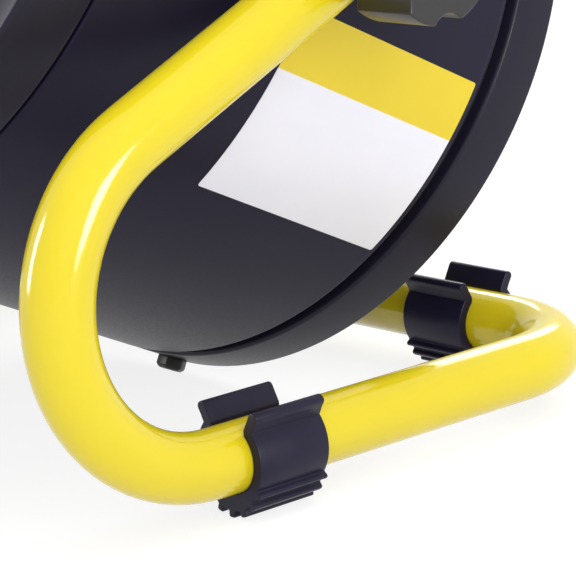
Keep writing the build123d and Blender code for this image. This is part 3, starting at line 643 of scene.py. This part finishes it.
# Drum shell
# Steel sheet rolled to 227 mm with both ends turned in, painted satin black with a blue cast.
drum_radius = 113.6
sheet = 1.0
front_way = Vector((0, -math.cos(slope), math.sin(slope)))
up_way = Vector((0, math.sin(slope), math.cos(slope)))
drum_place = Matrix(((1, 0, 0, 0),
                     (0, up_way.y, front_way.y, tilt_y * mm),
                     (0, up_way.z, front_way.z, tilt_z * mm),
                     (0, 0, 0, 1)))
rear_face = -91.8
front_face = 87.2
rear_seam = -72.2
front_seam = 66.7
flange_radius = drum_radius - 4
raw_edge = 0.3
rear_curl = 2.2
front_curl = 0.6
inner_curl = 1.2
drum_steps = 256
drum_paint = surface("satin_black_paint", (0.0105, 0.009, 0.0255), (0.013, 0.011, 0.0295),
                     (0.34, 0.42), 0.7 * mm, 0.008 * mm, patch=30 * mm, shine=0.15)
drum_shell = lathe("drum_skin", [
    (rear_seam, flange_radius, raw_edge), (rear_seam, drum_radius, rear_curl),
    (front_seam, drum_radius, front_curl), (front_seam, flange_radius, raw_edge),
    (front_seam - sheet, flange_radius, raw_edge),
    (front_seam - sheet, drum_radius - sheet, inner_curl),
    (rear_seam + sheet, drum_radius - sheet, inner_curl),
    (rear_seam + sheet, flange_radius, raw_edge)], drum_place, drum_paint, drum_steps, arc_steps=8)
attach(drum_shell, "heater")
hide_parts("drum_shell")

# End rings
# Pressed steel bands with rounded edges and an inward lip, pushed into the shell on a spigot: at
# the rear a dark seam stays between band and shell, at the front only a line. Satin black.
band_wall = 2
band_inner = 111.6
band_edge = 1.2
lip_inner = 104.6
lip_edge = 0.7
spigot_outer = 109.4
spigot_inner = 107.4
spigot_length = 12
spigot_edge = 0.5
ring_paint = surface("ring_black_paint", (0.0135, 0.0122, 0.0245), (0.016, 0.0145, 0.028),
                     (0.32, 0.4), 0.7 * mm, 0.008 * mm, patch=30 * mm, shine=0.18)
for ring_name, face, inwards, width in (("rear", rear_face, 1, 16.2),
                                        ("front", front_face, -1, 20.0)):
    band = [(0, lip_inner, lip_edge), (0, drum_radius, band_edge), (width, drum_radius, band_edge),
            (width, spigot_outer, raw_edge), (width + spigot_length, spigot_outer, spigot_edge),
            (width + spigot_length, spigot_inner, spigot_edge),
            (width - band_wall, spigot_inner, raw_edge), (width - band_wall, band_inner, raw_edge),
            (band_wall, band_inner, raw_edge), (band_wall, lip_inner, lip_edge)]
    band = [(face + inwards * along, out, radius) for along, out, radius in band]
    ring = lathe(f"{ring_name}_band", band, drum_place, ring_paint, drum_steps)
    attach(ring, "heater")
    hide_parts(f"{ring_name}_ring")

# Ring screws
# Black-oxide screws with hexagon heads, three round each ring, driven through the band into the
# bosses of the disc behind it.
screw_tree, screw_in, screw_out = new_tree("screws_round_a_ring", [
    ("Count", "Int"), ("Seat Radius", "Float"), ("First Angle", "Float"), ("Along", "Float"),
    ("Material", "Material")])
seats = add_node(screw_tree, "GeometryNodeMeshCircle", [
    ("Vertices", screw_in["Count"]), ("Radius", screw_in["Seat Radius"])])
turn_angle = add_node(screw_tree, "ShaderNodeCombineXYZ", [("Z", screw_in["First Angle"])])
shift_along = add_node(screw_tree, "ShaderNodeCombineXYZ", [("Z", screw_in["Along"])])
turned = add_node(screw_tree, "GeometryNodeTransform", [
    ("Geometry", seats.outputs[0]), ("Rotation", turn_angle.outputs[0])])
outwards = add_node(screw_tree, "GeometryNodeInputPosition")
facing_out = add_node(screw_tree, "FunctionNodeAlignRotationToVector", [
    ("Vector", outwards.outputs[0])], axis="Z")
flats_square = add_node(screw_tree, "FunctionNodeAlignRotationToVector", [
    ("Rotation", facing_out.outputs[0])], axis="X", pivot_axis="Z")
flats_square.inputs["Vector"].default_value = (0, 0, 1)
driven = add_node(screw_tree, "GeometryNodeInstanceOnPoints", [
    ("Points", turned.outputs[0]), ("Instance", screw_in["Geometry"]),
    ("Rotation", flats_square.outputs[0])])
slid = add_node(screw_tree, "GeometryNodeTransform", [
    ("Geometry", driven.outputs[0]), ("Translation", shift_along.outputs[0])])
close_tree(screw_tree, slid.outputs[0], screw_in, screw_out)


def turned_stack(name, layers, sides, first_angle=0.0):
    """A worked object of stacked regular outlines (height, radius), closed at both ends."""
    spots = [(radius * math.cos(math.tau * side / sides + first_angle),
              radius * math.sin(math.tau * side / sides + first_angle), height)
             for height, radius in layers for side in range(sides)]
    return worked_object(name, spots, faces=stacked_faces(len(layers), sides))


def joined(first, *others):
    """One worked object from several."""
    shape = bmesh.new()
    for part in (first, *others):
        shape.from_mesh(part.data)
    shape.to_mesh(first.data)
    shape.free()
    for part in others:
        bpy.data.objects.remove(part)
    return first


across_flats = 8.4
hexagon = across_flats / math.sqrt(3)
# Height over the band and radius, at each step of the head and of the shank
head_steps = [(0.01, hexagon - 0.35), (0.4, hexagon), (2.9, hexagon), (3.9, hexagon - 1.2)]
shank_steps = [(-14, 1.9), (-13.2, 2.5), (0.2, 2.5)]
head_bevel = 0.42
rear_screw_offset = 6.4
front_screw_offset = 7.6
black_oxide = surface("black_oxide", (0.006, 0.006, 0.0065), (0.009, 0.009, 0.0095),
                      (0.33, 0.38), 0.5 * mm, 0.0015 * mm, patch=8 * mm, shine=0.3)
for ring_name, along in (("rear", rear_face + rear_screw_offset),
                         ("front", front_face - front_screw_offset)):
    head = turned_stack("screw_head", head_steps, 6, math.pi / 6)
    shank = turned_stack("screw_shank", shank_steps, 24)
    screws = grown(joined(head, shank), f"{ring_name}_band_screws", screw_tree, {
        "Count": 3, "Seat Radius": drum_radius * mm, "First Angle": math.radians(30),
        "Along": along * mm, "Material": black_oxide}, drum_place, bevel=head_bevel)
    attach(screws, "heater")
    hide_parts(f"{ring_name}_ring_screws")

# Side sheet
# A plain adhesive sheet on the drum's right side, white below and yellow above, left blank. Its
# vinyl follows the drum and its corners are rounded.
sheet_along = (-69.2, 1.7)
sheet_angles = (-38.2, -18.05, -8.9)
sheet_corner = 0.7
sheet_strips = 60
sheet_thickness = 0.12
glue_gap = 0.02
print_blur = 0.1
sheet_outline = rounded([(along, drum_radius * math.radians(angle), sheet_corner) for along, angle in (
    (sheet_along[0], sheet_angles[0]), (sheet_along[1], sheet_angles[0]),
    (sheet_along[1], sheet_angles[2]), (sheet_along[0], sheet_angles[2]))], steps=6)
flat_sheet = bmesh.new()
flat_sheet.faces.new([flat_sheet.verts.new((spot.x, spot.y, 0)) for spot in sheet_outline])
sheet_turn = sheet_angles[2] - sheet_angles[0]
for cut in range(1, sheet_strips):
    height = drum_radius * math.radians(sheet_angles[0] + sheet_turn * cut / sheet_strips)
    everything = flat_sheet.verts[:] + flat_sheet.edges[:] + flat_sheet.faces[:]
    bmesh.ops.bisect_plane(flat_sheet, geom=everything, plane_co=(0, height, 0), plane_no=(0, 1, 0))
skin = drum_radius + glue_gap
for vertex in flat_sheet.verts:
    angle = vertex.co.y / drum_radius
    vertex.co = Vector((skin * math.cos(angle), skin * math.sin(angle), vertex.co.x)) * mm


def thin_sheet(name, shape, thickness, offset):
    """A worked object from a flat shape, with a thickness in millimetres."""
    mesh = bpy.data.meshes.new(name)
    shape.to_mesh(mesh)
    shape.free()
    source = put_in(name, mesh)
    solid = source.modifiers.new("thickness", "SOLIDIFY")
    solid.thickness = thickness * mm
    solid.offset = offset
    return source


vinyl = new_material("two_tone_vinyl")
vinyl_place = vinyl.node_tree.nodes.new("ShaderNodeTexCoord")
height_up = add_node(vinyl.node_tree, "ShaderNodeVectorMath", [
    ("Vector", vinyl_place.outputs["Object"])], operation="DOT_PRODUCT")
height_up.inputs[1].default_value = up_way
split_height = (up_way.y * tilt_y + up_way.z * tilt_z
                + drum_radius * math.sin(math.radians(sheet_angles[1]))) * mm
upper = spread(vinyl, height_up.outputs["Value"], 0, 1,
               split_height - print_blur * mm, split_height + print_blur * mm)
ink_drift = spread(vinyl, grain(vinyl, 18 * mm), 0, 1)
white_ink = two_shades(vinyl, ink_drift, (0.86, 0.86, 0.98), (0.885, 0.885, 0.995))
yellow_ink = two_shades(vinyl, ink_drift, (0.80, 0.61, 0.012), (0.835, 0.64, 0.015))
vinyl_fine = grain(vinyl, 0.9 * mm)
finish(vinyl, two_shades(vinyl, upper, white_ink, yellow_ink),
       spread(vinyl, vinyl_fine, 0.38, 0.46), relief(vinyl, vinyl_fine, 0.006 * mm))
side_sheet = covered(thin_sheet("side_sheet", flat_sheet, sheet_thickness, -1), "side_sheet", vinyl,
                     drum_place)
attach(side_sheet, "heater")

# Rear panel
# A moulded black disc behind the rear band's lip, with air slots, holes for the controls and three
# screw bosses. The moulding has eased edges and a fine spark-eroded texture.
panel_plastic = surface("textured_black_plastic", (0.019, 0.019, 0.02), (0.026, 0.026, 0.028),
                        (0.45, 0.62), 0.45 * mm, 0.05 * mm, patch=12 * mm, shine=0.45)


def softened(node, name, edge, material, segments=3):
    """A copy of a CAD node with its edges eased, which takes the node's place and its body."""
    same_spot = 0.002 * mm
    nearly_flat = math.radians(0.6)
    edge_limit = 30
    source = cad[node].copy()
    source.data = cad[node].data.copy()
    source.parent = None
    scene.collection.objects.link(source)
    shape = bmesh.new()
    shape.from_mesh(source.data)
    bmesh.ops.remove_doubles(shape, verts=shape.verts, dist=same_spot)
    bmesh.ops.dissolve_limit(shape, angle_limit=nearly_flat, verts=shape.verts, edges=shape.edges)
    shape.to_mesh(source.data)
    shape.free()
    ease_edges(source, edge, segments, edge_limit)
    piece = covered(source, name, material)
    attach(piece, cad[node]["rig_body"])
    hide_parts(node)
    return piece


softened("rear_panel", "intake_panel", 0.45, panel_plastic)

# Controls
# A thermostat and a mode switch: housings behind the panel, zinc-plated shafts, and fluted knobs
# with an ivory pointer. The dials' marks and numbers are printed on the panel.
disc_radius = 107.1
control_margin = 9.7
control_corner = 51
control_half = 17
control_side = 34
control_height = math.sqrt((disc_radius - control_margin) ** 2 - control_corner ** 2) - control_half
panel_back = rear_face + band_wall
knob_gap = 0.6
knob_height = 15
pointer_half = 0.95
pointer_start = 3.2
pointer_end = 12.3
pointer_sink = 0.2
tick_half = 0.35
tick_start = 17.2
tick_end = 20.2
number_radius = 23.6
number_size = 5.2
ink_thickness = 0.08
ink_rise = 0.03
dark_moulding = surface("dark_moulding", (0.03, 0.03, 0.031), (0.042, 0.042, 0.044),
                        (0.4, 0.55), 0.4 * mm, 0.02 * mm, patch=8 * mm)
knob_plastic = surface("knob_plastic", (0.014, 0.014, 0.015), (0.02, 0.02, 0.022),
                       (0.3, 0.42), 0.4 * mm, 0.012 * mm, patch=8 * mm)
zinc_plate = surface("zinc_plate", (0.56, 0.56, 0.54), (0.68, 0.67, 0.63), (0.22, 0.4),
                     0.5 * mm, 0.01 * mm, patch=4 * mm, metal=1.0)
ivory_paint = surface("ivory_paint", (0.70, 0.68, 0.60), (0.76, 0.74, 0.66), (0.4, 0.55),
                      0.6 * mm, 0.006 * mm, patch=6 * mm)
dress(dark_moulding, "thermostat", "mode_switch")
dress(zinc_plate, "thermostat_shaft", "mode_shaft")


def on_drum(across, up, along):
    """The drum's place, shifted in millimetres across it, up it and along it."""
    return drum_place @ Matrix.Translation(Vector((across, up, along)) * mm)


def bar(name, low, high, edge):
    """A worked block between two corners, with its edges to be eased."""
    spots = [(x, y, z) for x in (low[0], high[0]) for y in (low[1], high[1])
             for z in (low[2], high[2])]
    source = worked_object(name, spots, faces=[
        (0, 1, 3, 2), (4, 6, 7, 5), (0, 4, 5, 1), (2, 3, 7, 6), (0, 2, 6, 4), (1, 5, 7, 3)])
    ease_edges(source, edge)
    return source


def marks(name, side, stops, material):
    """Printed ticks and numbers round a control, as one thin piece on the panel's back."""
    stop_turn = math.radians(45)
    shape = bmesh.new()
    for stop in range(stops):
        turn = stop_turn * stop
        way = Vector((-math.sin(turn), math.cos(turn)))
        across = Vector((way.y, -way.x))
        corners = [way * reach + across * half for reach, half in (
            (tick_start, -tick_half), (tick_end, -tick_half), (tick_end, tick_half),
            (tick_start, tick_half))]
        shape.faces.new([shape.verts.new((*(corner * mm), 0)) for corner in corners])
        number = bpy.data.curves.new("number", "FONT")
        number.body = str(stop)
        number.size = number_size * mm
        number.align_x = "CENTER"
        number.align_y = "CENTER"
        digit = finished_mesh(put_in("number", number), "number")
        digit.transform(Matrix.Translation((*(way * number_radius * mm), 0))
                        @ Matrix.Rotation(math.pi, 4, "Y"))
        shape.from_mesh(digit)
        bpy.data.meshes.remove(digit)
    return covered(thin_sheet(name, shape, ink_thickness, 0), name, material,
                   on_drum(side * control_side, control_height, panel_back - ink_rise))


for control, side, stops in (("thermostat", -1, 7), ("mode", 1, 4)):
    softened(f"{control}_knob", f"{control}_fluted_knob", 0.55, knob_plastic)
    knob_face = panel_back - knob_gap - knob_height
    pointer = bar(f"{control}_pointer_work", (-pointer_half, pointer_start, knob_face - pointer_half),
                  (pointer_half, pointer_end, knob_face + pointer_sink), 0.3)
    pointer = covered(pointer, f"{control}_pointer", ivory_paint,
                      on_drum(side * control_side, control_height, 0))
    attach(pointer, f"{control}_dial")
    printed = marks(f"{control}_marks", side, stops, ivory_paint)
    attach(printed, "heater")

# Indicator lens
# A domed plug of clear amber plastic, pushed into the panel from inside.
amber = new_material("amber_plastic")
amber_cloud = spread(amber, grain(amber, 5 * mm), 0, 1)
amber_shader = finish(amber, two_shades(amber, amber_cloud, (0.86, 0.31, 0.02), (0.92, 0.36, 0.03)),
                      spread(amber, grain(amber, 0.6 * mm), 0.08, 0.16))
amber_shader.inputs["Transmission Weight"].default_value = 0.3
amber_shader.inputs["IOR"].default_value = 1.49
lens_inset = 23
# Place along the drum from the panel's back, radius and rounding, at each corner of the lens
lens_steps = ((-2.5, 0.01, 0), (-2.45, 1.6, 0.8), (-1.6, 4.0, 1.6), (2.5, 4.0, 0), (2.5, 5.0, 0.2),
              (4.5, 5.0, 0.3), (4.5, 0.01, 0))
lens = lathe("amber_lens", [(panel_back + along, out, radius) for along, out, radius in lens_steps],
             on_drum(0, disc_radius - lens_inset, 0), amber, steps=64)
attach(lens, "heater")
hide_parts("indicator_lens")

# Cord gland
# A flanged nylon bush in the panel: the cord's way in, empty here.
gland_nylon = surface("gland_nylon", (0.016, 0.016, 0.018), (0.023, 0.023, 0.025),
                      (0.42, 0.55), 0.5 * mm, 0.015 * mm, patch=6 * mm)
softened("cord_gland", "cord_bush", 0.5, gland_nylon)

# Terminal block and tip-over switch
# Mouldings screwed to the inside of the panel: ivory for the mains terminals, dark for the switch.
ivory_moulding = surface("ivory_moulding", (0.62, 0.58, 0.46), (0.68, 0.64, 0.52), (0.4, 0.55),
                         0.5 * mm, 0.02 * mm, patch=8 * mm)
softened("terminal_block", "mains_terminals", 0.5, ivory_moulding)
softened("tip_over_switch", "tip_switch_case", 0.6, dark_moulding)

# Front grille
# Eight steel rings and eight spokes round a pressed hub, welded to a rim that sits behind the front
# band's lip, with a boss at each band screw. Semi-gloss black enamel.
grille_tree, grille_in, grille_out = new_tree("ringed_grille", [
    ("Ring Count", "Int"), ("First Radius", "Float"), ("Ring Pitch", "Float"), ("Spoke Count", "Int"),
    ("Spoke Start", "Float"), ("Spoke End", "Float"), ("Bar Width", "Float"), ("Bar Depth", "Float"),
    ("Bar Corner", "Float"), ("Round Steps", "Int"), ("Material", "Material")])
section_shape = add_node(grille_tree, "GeometryNodeCurvePrimitiveQuadrilateral", [
    ("Width", grille_in["Bar Width"]), ("Height", grille_in["Bar Depth"])])
bar_section = add_node(grille_tree, "GeometryNodeFilletCurve", [
    ("Curve", section_shape.outputs[0]), ("Radius", grille_in["Bar Corner"])], mode="POLY")
bar_section.inputs["Count"].default_value = 3
ring_seats = add_node(grille_tree, "GeometryNodeMeshLine", [("Count", grille_in["Ring Count"])])
ring_seats.inputs["Offset"].default_value = (0, 0, 0)
seat_number = add_node(grille_tree, "GeometryNodeInputIndex").outputs[0]
steps_out = add_node(grille_tree, "ShaderNodeMath", [(0, seat_number), (1, grille_in["Ring Pitch"])],
                     operation="MULTIPLY")
ring_size = add_node(grille_tree, "ShaderNodeMath", [
    (0, steps_out.outputs[0]), (1, grille_in["First Radius"])])
unit_ring = add_node(grille_tree, "GeometryNodeCurvePrimitiveCircle", [
    ("Resolution", grille_in["Round Steps"])])
unit_ring.inputs["Radius"].default_value = 1.0
ring_lines = add_node(grille_tree, "GeometryNodeInstanceOnPoints", [
    ("Points", ring_seats.outputs[0]), ("Instance", unit_ring.outputs[0]),
    ("Scale", ring_size.outputs[0])])
spoke_seats = add_node(grille_tree, "GeometryNodeMeshLine", [("Count", grille_in["Spoke Count"])])
spoke_seats.inputs["Offset"].default_value = (0, 0, 0)
spoke_share = add_node(grille_tree, "ShaderNodeMath", [(0, seat_number), (1, grille_in["Spoke Count"])],
                       operation="DIVIDE")
spoke_angle = add_node(grille_tree, "ShaderNodeMath", [(0, spoke_share.outputs[0])], operation="MULTIPLY")
spoke_angle.inputs[1].default_value = math.tau
spoke_turn = add_node(grille_tree, "ShaderNodeCombineXYZ", [("Z", spoke_angle.outputs[0])])
spoke_start = add_node(grille_tree, "ShaderNodeCombineXYZ", [("X", grille_in["Spoke Start"])])
spoke_end = add_node(grille_tree, "ShaderNodeCombineXYZ", [("X", grille_in["Spoke End"])])
spoke_line = add_node(grille_tree, "GeometryNodeCurvePrimitiveLine", [
    ("Start", spoke_start.outputs[0]), ("End", spoke_end.outputs[0])])
spoke_lines = add_node(grille_tree, "GeometryNodeInstanceOnPoints", [
    ("Points", spoke_seats.outputs[0]), ("Instance", spoke_line.outputs[0]),
    ("Rotation", spoke_turn.outputs[0])])
lines = add_node(grille_tree, "GeometryNodeJoinGeometry", [(0, ring_lines.outputs[0])])
grille_tree.links.new(spoke_lines.outputs[0], lines.inputs[0])
real_lines = add_node(grille_tree, "GeometryNodeRealizeInstances", [(0, lines.outputs[0])])
level = add_node(grille_tree, "GeometryNodeSetCurveNormal", [("Curve", real_lines.outputs[0])], mode="Z_UP")
bars = add_node(grille_tree, "GeometryNodeCurveToMesh", [
    ("Curve", level.outputs[0]), ("Profile Curve", bar_section.outputs[0])])
bars.inputs["Fill Caps"].default_value = True
with_rim = add_node(grille_tree, "GeometryNodeJoinGeometry", [(0, bars.outputs[0])])
grille_tree.links.new(grille_in["Geometry"], with_rim.inputs[0])
close_tree(grille_tree, with_rim.outputs[0], grille_in, grille_out)

grille_half = 1.0
grille_middle = front_face - band_wall - grille_half
grille_rings = 8
hub_radius = 18
rim_width = 5
rim_inner = disc_radius - rim_width
ring_pitch = (rim_inner - hub_radius) / (grille_rings + 1)
boss_angles = (-90, 30, 150)
boss_low = (97.6, -7, -12.0)
boss_high = (106.4, 7, -0.9)
boss_edge = 0.6
# Place through the grille, radius and rounding, at each corner of the rim and of the pressed hub
rim_steps = [(-grille_half, rim_inner, 0.5), (-grille_half, disc_radius, 0.4),
             (grille_half, disc_radius, 0.4), (grille_half, rim_inner, 0.5)]
hub_steps = [(-grille_half, 0.05, 0), (-grille_half, hub_radius, 0.5), (grille_half, hub_radius, 0.8),
             (0.6, 15.4, 0.8), (0.6, 13.2, 0.8), (grille_half, 11.4, 0.8), (grille_half, 0.05, 0)]
enamel = surface("grille_enamel", (0.015, 0.015, 0.016), (0.021, 0.021, 0.022), (0.26, 0.36),
                 0.6 * mm, 0.01 * mm, patch=10 * mm)
rim = turned_outline("rim", rim_steps, steps=192, arc_steps=4)
hub = turned_outline("hub", hub_steps, steps=96, arc_steps=4)
bosses = []
for turn in boss_angles:
    boss = bar("boss", boss_low, boss_high, boss_edge)
    boss.data.transform(Matrix.Rotation(math.radians(turn), 4, "Z"))
    bosses.append(boss)
grille = grown(joined(rim, hub, *bosses), "ringed_front_grille", grille_tree, {
    "Ring Count": grille_rings, "First Radius": (hub_radius + ring_pitch) * mm,
    "Ring Pitch": ring_pitch * mm, "Spoke Count": 8, "Spoke Start": 17 * mm,
    "Spoke End": 103.5 * mm, "Bar Width": 2.4 * mm, "Bar Depth": 2 * mm,
    "Bar Corner": 0.55 * mm, "Round Steps": 144, "Material": enamel}, on_drum(0, 0, grille_middle))
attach(grille, "heater")
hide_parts("front_grille")

# Ceramic element
# White ceramic bars with corrugated aluminium strip stacked between them, in a brown heat-proof
# frame with two spade terminals, screwed to the baffle at its corners.
fired_ceramic = surface("fired_ceramic", (0.72, 0.69, 0.62), (0.80, 0.78, 0.72), (0.6, 0.8),
                        0.3 * mm, 0.03 * mm, patch=5 * mm)
bare_aluminium = surface("bare_aluminium", (0.70, 0.70, 0.71), (0.80, 0.80, 0.81), (0.3, 0.45),
                         0.3 * mm, 0.01 * mm, patch=3 * mm, metal=1.0, stretch=(1, 6, 6))
brown_moulding = surface("brown_moulding", (0.075, 0.036, 0.02), (0.11, 0.052, 0.028),
                         (0.5, 0.65), 0.4 * mm, 0.03 * mm, patch=6 * mm)
dress(fired_ceramic, "ceramic_bars")
dress(bare_aluminium, "heating_fins")
softened("element_frame", "element_surround", 0.8, brown_moulding)
dress(zinc_plate, "element_terminals", "element_screws")

# Baffle, liner and thermal cut-out
# Galvanised sheet: a plate that sends all the air through the element, a sleeve that keeps its heat
# off the shell, and a bimetal cut-out in a zinc-plated can on the frame.
spangle_size = 5 * mm
galvanised = new_material("galvanised_sheet")
zinc_tree = galvanised.node_tree
zinc_place = zinc_tree.nodes.new("ShaderNodeTexCoord")
spangle = add_node(zinc_tree, "ShaderNodeTexVoronoi", [("Vector", zinc_place.outputs["Object"])])
spangle.inputs["Scale"].default_value = 1 / spangle_size
flake = add_node(zinc_tree, "ShaderNodeSeparateColor", [("Color", spangle.outputs["Color"])])
zinc_shader = finish(
    galvanised, two_shades(galvanised, flake.outputs[0], (0.52, 0.53, 0.54), (0.68, 0.69, 0.70)),
    spread(galvanised, flake.outputs[1], 0.28, 0.46, 0, 1),
    relief(galvanised, grain(galvanised, 0.8 * mm), 0.01 * mm))
zinc_shader.inputs["Metallic"].default_value = 1.0
dress(galvanised, "element_baffle", "heat_liner", "fan_shroud", "motor_bracket", "pivot_brackets")
dress(zinc_plate, "thermal_cutout")

# Fan
# A moulded six-blade fan on a zinc-plated motor shaft, held by a hexagon nut.
fan_plastic = surface("glass_filled_plastic", (0.02, 0.02, 0.021), (0.032, 0.032, 0.034),
                      (0.42, 0.6), 0.6 * mm, 0.03 * mm, patch=5 * mm, stretch=(1, 1, 3))
softened("fan", "six_blade_fan", 0.5, fan_plastic)
dress(zinc_plate, "motor_shaft", "fan_nut")

# Motor
# A pressed steel can on a three-armed bracket, fixed by two round-headed screws.
motor_can = surface("pressed_steel_can", (0.30, 0.30, 0.31), (0.40, 0.40, 0.41), (0.3, 0.5),
                    0.5 * mm, 0.015 * mm, patch=8 * mm, metal=1.0)
dress(motor_can, "fan_motor")
dress(zinc_plate, "motor_screws")

# Tilt pivots
# Welded nuts on plates inside the shell, red-brown fibre washers between shell and arms, zinc-plated
# studs, and six-lobed black knobs that clamp the tilt.
red_fibre = surface("red_fibre", (0.17, 0.042, 0.022), (0.24, 0.062, 0.032), (0.6, 0.8),
                    0.35 * mm, 0.04 * mm, patch=3 * mm, stretch=(1, 1, 4))
dress(zinc_plate, "weld_nuts", "tilt_stud_right", "tilt_stud_left")
dress(red_fibre, "friction_washers")
for side_name in ("right", "left"):
    softened(f"tilt_knob_{side_name}", f"lobed_knob_{side_name}", 1.4, knob_plastic,
             segments=5)
